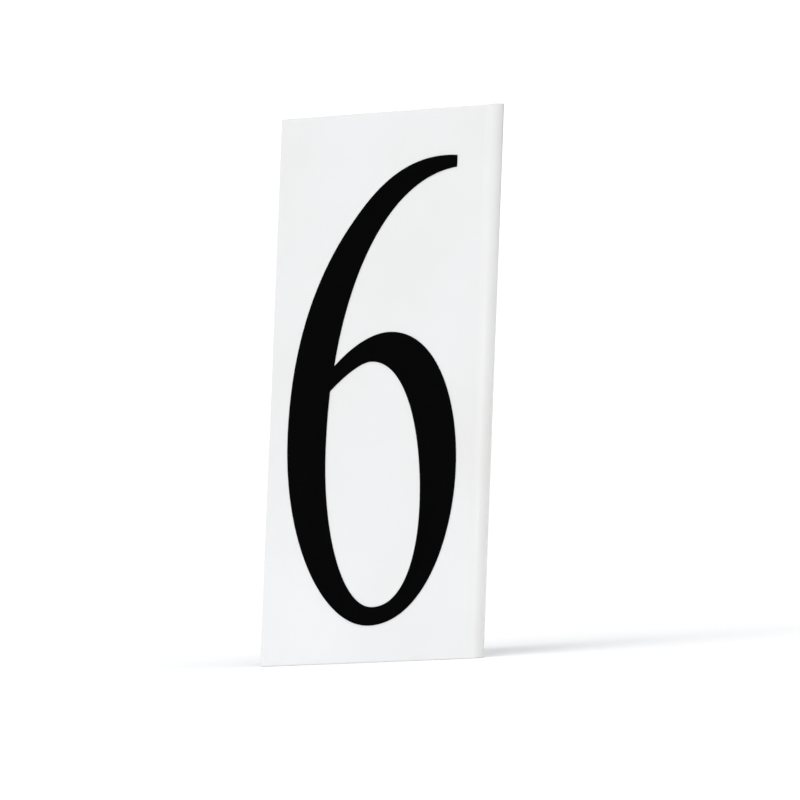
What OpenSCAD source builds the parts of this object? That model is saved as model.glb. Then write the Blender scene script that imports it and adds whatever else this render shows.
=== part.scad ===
// Table number: one sheet of white acrylic, bent once into two leaves that stand
// as a V and lean back, with a black film numeral stuck on the outside of each leaf.
// Both ends of the sheet are cut on a slant, so the foot and the top stand level.
// Millimetres, +Z up. The front leaf faces -Y and the part stands on z = 0.

/* [Sheet] */
// Width of the front leaf, from its free edge to the outside of the bend
leaf_w = 99; // [90:1:120]
// Height of the front leaf, measured up its slope
leaf_h = 210; // [200:1:300]
// Thickness of the acrylic sheet
sheet_t = 2; // [1.5:0.5:3]
// Outside radius of the bend
bend_r = 4.5; // [4:0.5:8]
// Angle between the two leaves
fold_angle = 50; // [40:1:70]
// How far the whole sheet leans back from upright
lean_back = 10; // [0:1:12]

/* [Numerals] */
// Height of each numeral
numeral_h = 177.5; // [100:0.5:177.5]
// Height of the front numeral's foot above the bottom edge, up the slope
front_numeral_foot = 14; // [3:0.5:17]
// Height of the rear numeral's foot above the same line, up the slope
rear_numeral_foot = 21; // [12:0.5:21]
// How far the numerals sit off the middle of the flat, towards the bend
numeral_offset = 0.7; // [0:0.1:1]
// Thickness of the black film
film_t = 0.15; // [0.1:0.05:0.3]
// Thickness of the adhesive layer under the film
adhesive_t = 0.05; // [0.05:0.05:0.1]

/* [Hidden] */

$fn = 96;

// The bend
bend_x = leaf_w / 2 - bend_r;       // the bend's axis, from the middle of the front leaf
bend_angle = 180 - fold_angle;      // how far the sheet is turned
flat_w = leaf_w - bend_r;           // flat width of each leaf

// The sheet is drawn this much too long at both ends, and then cut level
trim = 2;

// Height and depth of the standing sheet. The origin is in the middle of the depth.
height = leaf_h * cos(lean_back);
upright_depth = bend_r * (1 + cos(fold_angle)) + flat_w * sin(fold_angle);
depth = upright_depth / cos(lean_back) + leaf_h * sin(lean_back);

// The numeral's outline is drawn at this size
drawn_w = 78.5;
drawn_h = 177.5;
numeral_scale = numeral_h / drawn_h;
curve_steps = 14;

// Outside of the numeral: arcs as [start, handle, handle, end], in order round it
outer_arcs = [
    [[74, 177.5], [48, 180], [34, 163.5], [25.5, 153]],         // back of the tail
    [[25.5, 153], [11, 135], [0, 109.5], [0, 73]],              // stem, upper
    [[0, 73], [0, 31.5], [20.5, 0], [41, 0]],                   // stem, lower
    [[41, 0], [65, 0], [78.5, 30], [78.5, 59]],                 // bowl, lower
    [[78.5, 59], [78.5, 87], [66, 111.5], [45.5, 111.5]],       // bowl, upper
    [[45.5, 111.5], [37.5, 111.5], [28.5, 107], [20.5, 99.5]],  // bowl into the stem
    [[20.5, 99.5], [25, 131], [41, 170], [74, 173]]             // inside of the tail
];

// The counter, the closed space inside the bowl
counter_arcs = [
    [[19, 90], [25, 95.5], [33, 100.5], [37.5, 100.5]],
    [[37.5, 100.5], [54, 100.5], [62.5, 73], [62.5, 45.5]],
    [[62.5, 45.5], [62.5, 24], [56, 7], [42.5, 7]],
    [[42.5, 7], [28, 7], [18, 36.5], [18, 67]],
    [[18, 67], [18, 78], [18.5, 84], [19, 90]]
];

// A point on a cubic arc, t from 0 at its start to 1 at its end
function arc_point(a, t) =
    pow(1 - t, 3) * a[0] + 3 * pow(1 - t, 2) * t * a[1]
    + 3 * (1 - t) * pow(t, 2) * a[2] + pow(t, 3) * a[3];

// Arcs joined end to end as one closed outline. The last arc may stop short of the
// first one's start, and then a straight cut closes the outline.
function outline(arcs) =
    let (last = arcs[len(arcs) - 1][3])
    concat(
        [for (a = arcs) for (i = [0 : curve_steps - 1]) arc_point(a, i / curve_steps)],
        last == arcs[0][0] ? [] : [last]
    );

module numeral_shape() {
    scale([numeral_scale, numeral_scale])
        difference() {
            polygon(outline(outer_arcs));
            polygon(outline(counter_arcs));
        }
}

// Leans the sheet back about the foot of its front face, centred on the origin
module standing() {
    translate([0, -depth / 2, 0])
        rotate([-lean_back, 0, 0])
            children();
}

// Carries a shape drawn on the front face round the bend to the rear leaf's outside,
// with x = 0 where the bend ends
module on_rear_leaf() {
    translate([bend_x, bend_r, 0])
        rotate([0, 0, bend_angle])
            translate([0, -bend_r, 0])
                children();
}

// One layer of a numeral on an upright face at y = 0, its middle at x
module numeral_layer(x, foot, inner, thick) {
    translate([x - drawn_w * numeral_scale / 2, -inner, foot])
        rotate([90, 0, 0])
            linear_extrude(thick)
                numeral_shape();
}

module front_layer(inner, thick) {
    flat_middle = bend_x - flat_w / 2;
    standing()
        numeral_layer(flat_middle + numeral_offset, front_numeral_foot, inner, thick);
}

module rear_layer(inner, thick) {
    standing()
        on_rear_leaf()
            numeral_layer(flat_w / 2 - numeral_offset, rear_numeral_foot, inner, thick);
}

// A point turned round the bend's axis with the sheet
function turned(p) =
    [p[0] * cos(bend_angle) - p[1] * sin(bend_angle),
     p[0] * sin(bend_angle) + p[1] * cos(bend_angle)];

// Seen from above, about the bend's axis: everything between two flats that run from
// a round corner of radius r for the length reach, with ends cut square to the flats
module rounded_wedge(r, reach) {
    circle(r);
    polygon([[-reach, 0], [-reach, -r], [0, -r], [0, 0],
             turned([0, -r]), turned([reach, -r]), turned([reach, 0])]);
}

// The sheet as bent, before its ends are cut level
module bent_sheet() {
    clear_reach = flat_w + 4 * bend_r;
    rear_height = leaf_h + upright_depth * tan(lean_back);
    translate([bend_x, bend_r, -trim])
        linear_extrude(rear_height + 2 * trim)
            difference() {
                rounded_wedge(bend_r, flat_w);
                rounded_wedge(bend_r - sheet_t, clear_reach);
            }
}

module folded_panel() {
    color("white")
        intersection() {
            standing()
                bent_sheet();
            translate([-leaf_w, -depth, 0])
                cube([2 * leaf_w, 2 * depth, height]);
        }
}

module front_numeral_adhesive() {
    color("gainsboro")
        front_layer(0, adhesive_t);
}

module front_numeral() {
    color("black")
        front_layer(adhesive_t, film_t);
}

module rear_numeral_adhesive() {
    color("gainsboro")
        rear_layer(0, adhesive_t);
}

module rear_numeral() {
    color("black")
        rear_layer(adhesive_t, film_t);
}

folded_panel();
front_numeral();
front_numeral_adhesive();
rear_numeral();
rear_numeral_adhesive();
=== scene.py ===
import math

import bmesh
import bpy
from mathutils import Matrix, Vector


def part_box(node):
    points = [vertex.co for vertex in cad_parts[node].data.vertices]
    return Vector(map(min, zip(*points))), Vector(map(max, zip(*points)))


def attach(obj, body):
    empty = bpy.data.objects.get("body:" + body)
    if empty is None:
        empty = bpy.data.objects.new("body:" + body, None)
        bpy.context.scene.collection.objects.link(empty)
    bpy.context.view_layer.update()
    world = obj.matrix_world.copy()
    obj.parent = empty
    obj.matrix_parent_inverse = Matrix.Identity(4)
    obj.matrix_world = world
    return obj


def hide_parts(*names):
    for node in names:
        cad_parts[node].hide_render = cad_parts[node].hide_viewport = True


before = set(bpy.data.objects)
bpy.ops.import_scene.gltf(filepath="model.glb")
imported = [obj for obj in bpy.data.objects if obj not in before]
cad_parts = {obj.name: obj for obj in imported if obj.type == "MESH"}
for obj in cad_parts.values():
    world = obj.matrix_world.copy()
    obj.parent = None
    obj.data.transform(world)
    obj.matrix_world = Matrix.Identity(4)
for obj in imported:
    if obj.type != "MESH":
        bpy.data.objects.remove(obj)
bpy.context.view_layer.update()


# ---------------------------------------------------------------- folded panel
# One sheet of gloss white acrylic, its ends saw cut on a slant and flame polished,
# then heated along a strip and bent once over a former. The two leaves stand like an
# open card and lean back, and the slant brings the foot and the top level.

panel_low, panel_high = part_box("folded_panel")
leaf_width = panel_high.x - panel_low.x
sheet_thick = 0.002
bend_radius = 0.0045
fold_angle = math.radians(50)
lean_back = math.radians(10)
leaf_height = panel_high.z / math.cos(lean_back)

bend_turn = math.pi - fold_angle
flat_width = leaf_width - bend_radius
bend_axis = Vector((panel_high.x - bend_radius, bend_radius, 0))

# From the upright sheet to where it stands, about the foot of its front face
stand = Matrix.Translation((0, panel_low.y, 0)) @ Matrix.Rotation(-lean_back, 4, "X")

# From the front face round the bend to the rear leaf's outside, x = 0 at the bend
front_leaf = Matrix.Translation((bend_axis.x, 0, 0))
rear_leaf = (Matrix.Translation(bend_axis) @ Matrix.Rotation(bend_turn, 4, "Z")
             @ Matrix.Translation((0, -bend_radius, 0)))


def across_sheet():
    """Where the sheet is cut into columns: (distance along it, turn so far), from the
    front free edge to the rear one. The distance is 0 at the start of the bend."""
    flat_columns = 36
    bend_columns = 40
    columns = []
    for i in range(flat_columns):
        columns.append((-flat_width * (1 - i / flat_columns), 0.0))
    for i in range(bend_columns + 1):
        columns.append((0.0, bend_turn * i / bend_columns))
    for i in range(1, flat_columns + 1):
        columns.append((flat_width * i / flat_columns, bend_turn))
    return columns


def heat_hollow(distance):
    """How far the skin is drawn in beside the heated strip."""
    depth = 0.00007
    middle = 0.0032
    spread = 0.0022
    return depth * math.exp(-((abs(distance) - middle) / spread) ** 2)


def sheet_point(distance, turn, inward, up):
    """A point of the upright sheet. inward is the depth below its outer skin."""
    if inward == 0:
        inward = heat_hollow(distance)
    radius = bend_radius - inward
    corner = bend_axis + Vector((math.sin(turn), -math.cos(turn), 0)) * radius
    along = Vector((math.cos(turn), math.sin(turn), 0)) * distance
    return corner + along + Vector((0, 0, up))


def bend_swell(turn, inward):
    """The ends of the bend: the squeezed inside of the sheet rises a little there and
    the stretched outside sinks."""
    rise = 0.00018
    sink = -0.00006
    share = inward / sheet_thick
    return math.sin(math.pi * turn / bend_turn) * (sink + (rise - sink) * share)


def make_panel():
    columns = across_sheet()
    rows = 48
    mesh = bmesh.new()
    skins = []
    for inward in (0, sheet_thick):
        grid = []
        for distance, turn in columns:
            foot = sheet_point(distance, turn, inward, 0)
            low = foot.y * math.tan(lean_back)
            high = low + leaf_height + bend_swell(turn, inward)
            line = []
            for row in range(rows + 1):
                up = low + (high - low) * row / rows
                place = stand @ sheet_point(distance, turn, inward, up)
                line.append(mesh.verts.new(place))
            grid.append(line)
        skins.append(grid)
    outer, inner = skins

    skin_faces = []
    edge_faces = []
    last = len(columns) - 1
    for c in range(last):
        for r in range(rows):
            skin_faces.append((outer[c][r], outer[c + 1][r],
                               outer[c + 1][r + 1], outer[c][r + 1]))
            skin_faces.append((inner[c][r + 1], inner[c + 1][r + 1],
                               inner[c + 1][r], inner[c][r]))
        edge_faces.append((outer[c][rows], outer[c + 1][rows],
                           inner[c + 1][rows], inner[c][rows]))
        edge_faces.append((inner[c][0], inner[c + 1][0],
                           outer[c + 1][0], outer[c][0]))
    for r in range(rows):
        edge_faces.append((inner[0][r], outer[0][r], outer[0][r + 1], inner[0][r + 1]))
        edge_faces.append((outer[last][r], inner[last][r],
                           inner[last][r + 1], outer[last][r + 1]))
    for corners in skin_faces:
        mesh.faces.new(corners).material_index = 0
    for corners in edge_faces:
        mesh.faces.new(corners).material_index = 1
    for face in mesh.faces:
        face.smooth = True
    bmesh.ops.recalc_face_normals(mesh, faces=mesh.faces)

    data = bpy.data.meshes.new("folded_panel_sheet")
    mesh.to_mesh(data)
    mesh.free()
    piece = bpy.data.objects.new("folded_panel_sheet", data)
    bpy.context.scene.collection.objects.link(piece)
    return piece


def soften_edges(piece, width, steps):
    """Takes the sharpness off the edges and keeps the flats flat under the gloss."""
    bevel = piece.modifiers.new("softened edges", "BEVEL")
    bevel.limit_method = "ANGLE"
    bevel.angle_limit = math.radians(40)
    bevel.width = width
    bevel.segments = steps
    bevel.material = 1
    normals = piece.modifiers.new("flat faces", "WEIGHTED_NORMAL")
    normals.weight = 100
    normals.keep_sharp = True


def new_finish(name):
    """An empty material: its nodes, a joining function and its shader."""
    finish = bpy.data.materials.new(name)
    finish.use_nodes = True
    nodes = finish.node_tree.nodes
    shader = nodes["Principled BSDF"]
    return finish, nodes, finish.node_tree.links.new, shader


def mottle(nodes, join, scale, detail, stretch=(1, 1, 1), shift=(0, 0, 0)):
    """Soft noise over the piece, in its own metres."""
    place = nodes.new("ShaderNodeTexCoord")
    mapping = nodes.new("ShaderNodeMapping")
    mapping.inputs["Scale"].default_value = stretch
    mapping.inputs["Location"].default_value = shift
    pattern = nodes.new("ShaderNodeTexNoise")
    pattern.inputs["Scale"].default_value = scale
    pattern.inputs["Detail"].default_value = detail
    join(place.outputs["Object"], mapping.inputs["Vector"])
    join(mapping.outputs["Vector"], pattern.inputs["Vector"])
    return pattern.outputs["Fac"]


def spread(nodes, join, source, low, high, from_low=0.3, from_high=0.7):
    """Noise stretched to run from low to high."""
    reach = nodes.new("ShaderNodeMapRange")
    reach.inputs["From Min"].default_value = from_low
    reach.inputs["From Max"].default_value = from_high
    reach.inputs["To Min"].default_value = low
    reach.inputs["To Max"].default_value = high
    join(source, reach.inputs["Value"])
    return reach.outputs["Result"]


def two_tones(nodes, join, source, first, second):
    """Colour that drifts between two near tones."""
    mix = nodes.new("ShaderNodeMix")
    mix.data_type = "RGBA"
    mix.inputs["A"].default_value = (*first, 1)
    mix.inputs["B"].default_value = (*second, 1)
    join(source, mix.inputs["Factor"])
    return mix.outputs["Result"]


def relief(nodes, join, source, height, shader, below=None):
    """Bump of a real height in metres."""
    bump = nodes.new("ShaderNodeBump")
    bump.inputs["Strength"].default_value = 1
    bump.inputs["Distance"].default_value = height
    join(source, bump.inputs["Height"])
    if below is not None:
        join(below.outputs["Normal"], bump.inputs["Normal"])
    join(bump.outputs["Normal"], shader.inputs["Normal"])
    return bump


acrylic_ior = 1.49
acrylic_scatter = (1.0, 0.9, 0.8)  # how far red, green and blue spread inside it


def gloss_white_acrylic():
    finish, nodes, join, shader = new_finish("gloss white acrylic")
    # The base colour is partly a soft random cloud of tone across the sheet and partly
    # painted reflection: the noise is shifted so that a darker, warmer patch lies at the
    # top of the front leaf, and the lighter tone is the bluer one.
    cloud = mottle(nodes, join, 16, 3, shift=(0.3, 0.2, 0.31))
    tone_and_painted_reflection = spread(nodes, join, cloud, 0, 1)
    join(two_tones(nodes, join, tone_and_painted_reflection, (0.775, 0.774, 0.768), (0.811, 0.814, 0.820)),
         shader.inputs["Base Color"])
    handling = mottle(nodes, join, 90, 6)
    join(spread(nodes, join, handling, 0.10, 0.22), shader.inputs["Roughness"])
    wave = relief(nodes, join, mottle(nodes, join, 30, 1), 0.00012, shader)
    relief(nodes, join, mottle(nodes, join, 900, 2), 0.0000015, shader, wave)
    shader.inputs["IOR"].default_value = acrylic_ior
    shader.inputs["Subsurface Weight"].default_value = 0.12
    shader.inputs["Subsurface Radius"].default_value = acrylic_scatter
    shader.inputs["Subsurface Scale"].default_value = 0.0015
    return finish


def polished_cut_edge():
    finish, nodes, join, shader = new_finish("flame polished cut edge")
    cloud = mottle(nodes, join, 60, 3)
    join(two_tones(nodes, join, cloud, (0.68, 0.685, 0.69), (0.75, 0.75, 0.745)),
         shader.inputs["Base Color"])
    saw_marks = mottle(nodes, join, 400, 3, stretch=(1, 1, 8))
    join(spread(nodes, join, saw_marks, 0.38, 0.5), shader.inputs["Roughness"])
    relief(nodes, join, saw_marks, 0.000004, shader)
    shader.inputs["IOR"].default_value = acrylic_ior
    shader.inputs["Subsurface Weight"].default_value = 0.3
    shader.inputs["Subsurface Radius"].default_value = acrylic_scatter
    shader.inputs["Subsurface Scale"].default_value = 0.002
    return finish


polished_edge = 0.0003
edge_steps = 3

panel = make_panel()
panel.data.materials.append(gloss_white_acrylic())
panel.data.materials.append(polished_cut_edge())
soften_edges(panel, polished_edge, edge_steps)
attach(panel, "root")
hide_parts("folded_panel")


# ---------------------------------------------------------------- numerals
# A tall old-style numeral, plotter cut from matte black self-adhesive film, one on
# the outside of each leaf. The film and its adhesive layer are cut in one pass, and
# the numeral is smoothed down on the acrylic from a transfer sheet.

film_thick = 0.00015
adhesive_thick = 0.00005
knife_rounding = 0.00002  # where the knife rolls the film's edge over
adhesive_set_back = 0.00008

# Each arc is start, handle, handle, end, in millimetres from the numeral's own
# lower left corner. The points came out of a fitting program and weren't drawn by
# hand, so these two lists aren't an example to follow.
outer_arcs = [
    [(74, 177.5), (48, 180), (34, 163.5), (25.5, 153)],         # back of the tail
    [(25.5, 153), (11, 135), (0, 109.5), (0, 73)],              # stem, upper
    [(0, 73), (0, 31.5), (20.5, 0), (41, 0)],                   # stem, lower
    [(41, 0), (65, 0), (78.5, 30), (78.5, 59)],                 # bowl, lower
    [(78.5, 59), (78.5, 87), (66, 111.5), (45.5, 111.5)],       # bowl, upper
    [(45.5, 111.5), (37.5, 111.5), (28.5, 107), (20.5, 99.5)],  # bowl into the stem
    [(20.5, 99.5), (25, 131), (41, 170), (74, 173)],            # inside of the tail
    [(74, 173), (74, 173), (74, 177.5), (74, 177.5)],           # cut end of the tail
]
counter_arcs = [
    [(19, 90), (25, 95.5), (33, 100.5), (37.5, 100.5)],
    [(37.5, 100.5), (54, 100.5), (62.5, 73), (62.5, 45.5)],
    [(62.5, 45.5), (62.5, 24), (56, 7), (42.5, 7)],
    [(42.5, 7), (28, 7), (18, 36.5), (18, 67)],
    [(18, 67), (18, 78), (18.5, 84), (19, 90)],
]
millimetre = 0.001
weld_distance = 0.000001


def closed_stroke(curve, arcs):
    """One closed loop of a numeral's outline, with the arcs' own handles."""
    loop = curve.splines.new("BEZIER")
    loop.bezier_points.add(len(arcs) - 1)
    loop.use_cyclic_u = True
    for i, (start, handle, _, _) in enumerate(arcs):
        point = loop.bezier_points[i]
        arriving = arcs[i - 1][2]
        point.handle_left_type = "FREE"
        point.handle_right_type = "FREE"
        point.co = Vector((*start, 0)) * millimetre
        point.handle_right = Vector((*handle, 0)) * millimetre
        point.handle_left = Vector((*arriving, 0)) * millimetre


def numeral_layer(name, leaf, left, foot, inner, thick, knife_edge, drawn_in):
    """A cut layer of the numeral lying on a leaf: left and foot place it on the leaf,
    inner is its height off the acrylic, and drawn_in pulls its outline in."""
    curve = bpy.data.curves.new(name, "CURVE")
    curve.dimensions = "2D"
    curve.fill_mode = "BOTH"
    curve.resolution_u = 40
    curve.extrude = thick / 2 - knife_edge
    curve.bevel_depth = knife_edge
    curve.bevel_resolution = 1
    curve.offset = -knife_edge - drawn_in
    closed_stroke(curve, outer_arcs)
    closed_stroke(curve, counter_arcs)
    drawn = bpy.data.objects.new(name + "_drawn", curve)
    bpy.context.scene.collection.objects.link(drawn)
    bpy.context.view_layer.update()
    data = bpy.data.meshes.new_from_object(
        drawn.evaluated_get(bpy.context.evaluated_depsgraph_get()))
    bpy.data.objects.remove(drawn)

    upright = Matrix.Rotation(math.radians(90), 4, "X")
    off_skin = Matrix.Translation((left, -inner - thick / 2, foot))
    data.transform(stand @ leaf @ off_skin @ upright)
    mesh = bmesh.new()
    mesh.from_mesh(data)
    bmesh.ops.remove_doubles(mesh, verts=mesh.verts, dist=weld_distance)
    bmesh.ops.recalc_face_normals(mesh, faces=mesh.faces)
    if mesh.calc_volume(signed=True) < 0:
        bmesh.ops.reverse_faces(mesh, faces=mesh.faces)
    mesh.to_mesh(data)
    mesh.free()
    data.name = name
    piece = bpy.data.objects.new(name, data)
    bpy.context.scene.collection.objects.link(piece)
    return piece


def matte_black_film():
    finish, nodes, join, shader = new_finish("matte black film")
    cloud = mottle(nodes, join, 70, 4)
    join(two_tones(nodes, join, cloud, (0.0004, 0.0004, 0.0004), (0.001, 0.001, 0.001)),
         shader.inputs["Base Color"])
    join(spread(nodes, join, mottle(nodes, join, 300, 4), 0.5, 0.68),
         shader.inputs["Roughness"])
    relief(nodes, join, mottle(nodes, join, 2500, 3), 0.000004, shader)
    shader.inputs["Specular IOR Level"].default_value = 0.02
    return finish


def milky_adhesive():
    finish, nodes, join, shader = new_finish("milky adhesive")
    cloud = mottle(nodes, join, 500, 3)
    join(two_tones(nodes, join, cloud, (0.70, 0.70, 0.67), (0.78, 0.78, 0.76)),
         shader.inputs["Base Color"])
    join(spread(nodes, join, cloud, 0.4, 0.6), shader.inputs["Roughness"])
    shader.inputs["Specular IOR Level"].default_value = 0.3
    return finish


film_finish = matte_black_film()
adhesive_finish = milky_adhesive()

# Where each numeral lies on its leaf: from the start of the bend, and up the slope
numeral_low, numeral_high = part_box("front_numeral")
front_left = numeral_low.x - bend_axis.x
rear_left = bend_axis.x - numeral_high.x
front_foot = 0.014
rear_foot = 0.021

for side, leaf, left, foot in (("front", front_leaf, front_left, front_foot),
                               ("rear", rear_leaf, rear_left, rear_foot)):
    adhesive = numeral_layer(side + "_numeral_glue", leaf, left, foot,
                             0, adhesive_thick, 0, adhesive_set_back)
    adhesive.data.materials.append(adhesive_finish)
    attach(adhesive, "root")
    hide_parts(side + "_numeral_adhesive")

    film = numeral_layer(side + "_numeral_film", leaf, left, foot,
                         adhesive_thick, film_thick, knife_rounding, 0)
    film.data.materials.append(film_finish)
    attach(film, "root")
    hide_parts(side + "_numeral")


# ---------------------------------------------------------------- table surface
# A plain pale sweep of matte white card for the piece to stand on. It isn't part of
# the object.

def matte_white_card():
    finish, nodes, join, shader = new_finish("matte white card")
    cloud = mottle(nodes, join, 3, 3)
    join(two_tones(nodes, join, cloud, (0.94, 0.95, 0.97), (0.955, 0.96, 0.975)),
         shader.inputs["Base Color"])
    join(spread(nodes, join, mottle(nodes, join, 300, 4), 0.75, 0.9),
         shader.inputs["Roughness"])
    shader.inputs["Specular IOR Level"].default_value = 0
    return finish


def make_card():
    reach = 6.0
    rings = 24
    spokes = 96
    mesh = bmesh.new()
    middle = mesh.verts.new((0, 0, 0))
    ring_before = None
    for ring in range(1, rings + 1):
        radius = reach * (ring / rings) ** 2
        ring_now = []
        for spoke in range(spokes):
            a = 2 * math.pi * spoke / spokes
            ring_now.append(mesh.verts.new((radius * math.cos(a),
                                            radius * math.sin(a), 0)))
        for spoke in range(spokes):
            after = (spoke + 1) % spokes
            if ring_before is None:
                mesh.faces.new((middle, ring_now[spoke], ring_now[after]))
            else:
                mesh.faces.new((ring_before[spoke], ring_now[spoke],
                                ring_now[after], ring_before[after]))
        ring_before = ring_now
    data = bpy.data.meshes.new("table_card")
    mesh.to_mesh(data)
    mesh.free()
    card = bpy.data.objects.new("table_card", data)
    bpy.context.scene.collection.objects.link(card)
    return card


card = make_card()
card.data.materials.append(matte_white_card())


# ---------------------------------------------------------------- light and camera
# A white studio: the room lights the piece mostly from above and from the front. A
# tall soft box stands to the right of the camera, and a wide pale blue one to the left
# of the front leaf. A long lens looks from the bend side, level with the leaf's middle.

leaf_middle = stand @ Vector((0, 0, leaf_height / 2))

# How strongly the room lights the piece: everywhere, from above and from the front
room_level = 0.36
room_from_above = 1.38
room_from_front = 0.42
room_front = (0.35, -0.93, 0.1)  # the direction that the front light comes from

# Where the lens stands from the leaf's middle, and its tilt, in degrees and metres
lens_azimuth = 35.26
lens_elevation = 0.5
lens_distance = 4.139
lens_tilt = -3.626
lens_length = 493.4  # millimetres
sensor_width = 36    # millimetres

# How far the lens aims beside and below the leaf's middle
aim_right = 0.0086
aim_down = 0.00517


def from_leaf(azimuth, elevation, distance):
    """A place seen from the leaf's middle. Azimuth 0 is straight in front, and it
    grows towards the bend."""
    a, e = math.radians(azimuth), math.radians(elevation)
    toward = Vector((math.sin(a) * math.cos(e), -math.cos(a) * math.cos(e), math.sin(e)))
    return leaf_middle + toward * distance


def light_studio():
    world = bpy.data.worlds.new("white studio")
    bpy.context.scene.world = world
    world.use_nodes = True
    nodes = world.node_tree.nodes
    join = world.node_tree.links.new
    nodes.clear()

    def combine(operation, a, b):
        step = nodes.new("ShaderNodeMath")
        step.operation = operation
        for socket, value in zip(step.inputs, (a, b)):
            if isinstance(value, (int, float)):
                socket.default_value = value
            else:
                join(value, socket)
        return step.outputs["Value"]

    def toward(direction):
        part = nodes.new("ShaderNodeVectorMath")
        part.operation = "DOT_PRODUCT"
        part.inputs[1].default_value = Vector(direction).normalized()
        join(place.outputs["Generated"], part.inputs[0])
        return part.outputs["Value"]

    place = nodes.new("ShaderNodeTexCoord")
    above = toward((0, 0, 1))
    front = toward(room_front)
    above_only = combine("MAXIMUM", above, 0)
    overhead = combine("POWER", above_only, 2)
    from_above = combine("MULTIPLY", overhead, room_from_above)
    from_front = combine("MULTIPLY", front, room_from_front)
    both = combine("ADD", from_above, from_front)
    strength = combine("ADD", both, room_level)

    room = nodes.new("ShaderNodeBackground")
    room.inputs["Color"].default_value = (1.0, 0.995, 0.985, 1)
    join(strength, room.inputs["Strength"])
    backdrop = nodes.new("ShaderNodeBackground")
    backdrop.inputs["Color"].default_value = (1, 1, 1, 1)
    backdrop.inputs["Strength"].default_value = 1.1
    seen = nodes.new("ShaderNodeLightPath")
    choose = nodes.new("ShaderNodeMixShader")
    join(seen.outputs["Is Camera Ray"], choose.inputs["Fac"])
    join(room.outputs["Background"], choose.inputs[1])
    join(backdrop.outputs["Background"], choose.inputs[2])
    output = nodes.new("ShaderNodeOutputWorld")
    join(choose.outputs["Shader"], output.inputs["Surface"])


def add_soft_box(name, azimuth, elevation, distance, width, height, power, colour):
    """A soft box that faces the leaf's middle. Sizes in metres, power in watts."""
    box = bpy.data.lights.new(name, "AREA")
    box.color = colour
    box.shape = "RECTANGLE"
    box.size = width
    box.size_y = height
    box.energy = power
    lamp = bpy.data.objects.new(name, box)
    lamp.location = from_leaf(azimuth, elevation, distance)
    lamp.rotation_mode = "QUATERNION"
    lamp.rotation_quaternion = (leaf_middle - lamp.location).to_track_quat("-Z", "Y")
    bpy.context.scene.collection.objects.link(lamp)


def add_camera():
    lens = bpy.data.cameras.new("camera")
    lens.sensor_width = sensor_width
    lens.lens = lens_length
    camera = bpy.data.objects.new("camera", lens)
    camera.location = from_leaf(lens_azimuth, lens_elevation, lens_distance)
    ahead = (leaf_middle - camera.location).normalized()
    right = ahead.cross(Vector((0, 0, 1))).normalized()
    above = right.cross(ahead)
    tilt = math.radians(lens_tilt)
    image_right = right * math.cos(tilt) + above * math.sin(tilt)
    image_up = above * math.cos(tilt) - right * math.sin(tilt)
    aim = leaf_middle + image_right * aim_right - image_up * aim_down
    ahead = (aim - camera.location).normalized()
    image_right = ahead.cross(image_up).normalized()
    image_up = image_right.cross(ahead)
    facing = Matrix((image_right, image_up, -ahead)).transposed()
    camera.rotation_mode = "QUATERNION"
    camera.rotation_quaternion = facing.to_quaternion()
    bpy.context.scene.collection.objects.link(camera)
    bpy.context.scene.camera = camera


light_studio()
add_soft_box("right soft box", 42, 8, 1.4, 0.2, 0.5, 1.05, (1, 1, 1))
add_soft_box("left soft box", -34, 4, 0.8, 0.6, 0.22, 0.37, (0.70, 0.84, 1))
add_camera()
bpy.context.scene.view_settings.view_transform = "Standard"
